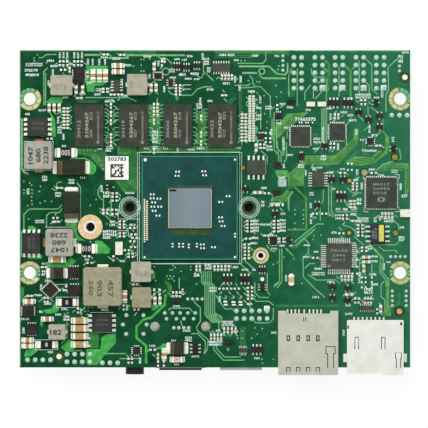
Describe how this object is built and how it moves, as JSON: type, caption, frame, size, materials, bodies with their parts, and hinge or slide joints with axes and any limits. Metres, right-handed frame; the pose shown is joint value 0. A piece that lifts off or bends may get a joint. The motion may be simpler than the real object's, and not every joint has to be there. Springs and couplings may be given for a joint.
{
  "type": "embedded motherboard",
  "caption": "Small green computer board with a bare-die processor, soldered memory, card sockets, and ports and pin headers underneath.",
  "frame": {"origin": "middle of the rectangle of the four corner holes, in the plane of the board's underside", "axes": "+X along the board's long side, +Y away from the edge with the card slots and ports, +Z out of the processor side"},
  "size_m": [0.1016, 0.0845, 0.0126],
  "materials": {
    "board": "glossy green solder mask over copper",
    "substrate": "satin teal solder mask",
    "solder": "bright tin solder",
    "die": "polished silicon",
    "underfill": "dark resin fillet",
    "memory": "fine matt moulding compound",
    "choke_olive": "pressed iron powder, lacquered",
    "choke_grey": "pressed iron powder, lacquered",
    "choke_warm": "pressed iron powder, lacquered",
    "copper_strip": "tinned copper strip",
    "capacitor_case": "moulded epoxy with a brown polarity bar",
    "tin": "tinned metal and solder",
    "chip_case": "moulding compound",
    "resistor_case": "black glaze on ceramic",
    "ceramic_brown": "fired ceramic",
    "crystal_case": "cream lid",
    "lamp_white": "translucent white resin",
    "label_paper": "white label film",
    "sim_sheet": "rolled stainless sheet",
    "card_sheet": "rolled stainless sheet, bright",
    "port_sheet": "nickel-plated sheet",
    "nut_steel": "tinned steel",
    "black_plastic": "glass-filled plastic",
    "white_plastic": "natural plastic",
    "blue_plastic": "blue plastic",
    "gold": "gold-plated contacts"
  },
  "bodies": {
    "board": {"circuit_board": "board", "processor_substrate": "substrate", "solder_balls": "solder", "processor_die": "die", "die_underfill": "underfill", "memory_chip_1": "memory", "memory_chip_2": "memory", "memory_chip_3": "memory", "memory_chip_4": "memory", "main_choke": "choke_olive", "core_choke_1": "choke_grey", "core_choke_2": "choke_grey", "small_chokes": "choke_warm", "choke_terminals": "copper_strip", "polymer_capacitors": "capacitor_case", "polymer_capacitor_ends": "tin", "power_transistors": "chip_case", "power_transistor_leads": "tin", "sense_resistors": "resistor_case", "large_ceramics": "ceramic_brown", "large_part_ends": "tin", "small_capacitors": "ceramic_brown", "small_resistors": "resistor_case", "small_part_ends": "tin", "regulator_chips": "chip_case", "controller_chips": "chip_case", "quad_flat_chip": "chip_case", "quad_flat_leads": "tin", "firmware_chip": "chip_case", "outline_chips": "chip_case", "outline_leads": "tin", "transistor_packages": "chip_case", "transistor_leads": "tin", "crystal_can": "crystal_case", "indicator_lamps": "lamp_white", "id_label": "label_paper", "sim_shell": "sim_sheet", "sim_base": "black_plastic", "sim_contacts": "gold", "card_shell": "card_sheet", "card_base": "black_plastic", "card_contacts": "gold", "card_standoffs": "tin", "heatsink_nuts": "nut_steel", "header_bodies": "black_plastic", "header_pins": "gold", "wafer_bodies": "white_plastic", "wafer_pins": "tin", "audio_jack": "black_plastic", "host_port_shell": "port_sheet", "host_port_tongue": "blue_plastic", "host_port_contacts": "gold", "video_port_shell": "port_sheet", "video_port_tongue": "black_plastic", "storage_socket": "black_plastic", "expansion_socket": "black_plastic", "socket_contacts": "gold", "solder_joints": "solder"},
    "sim_pusher": {"sim_slider": "black_plastic"},
    "card_pusher": {"card_slider": "white_plastic"}
  },
  "joints": [
    {"name": "sim_slide", "type": "slide", "parent": "board", "child": "sim_pusher", "axis": [0, 1, 0], "range_m": [0, 0.0024], "stiffness_N_per_m": 200, "springref_m": -0.001},
    {"name": "card_slide", "type": "slide", "parent": "board", "child": "card_pusher", "axis": [0, 1, 0], "range_m": [0, 0.0016], "stiffness_N_per_m": 200, "springref_m": -0.001}
  ]
}
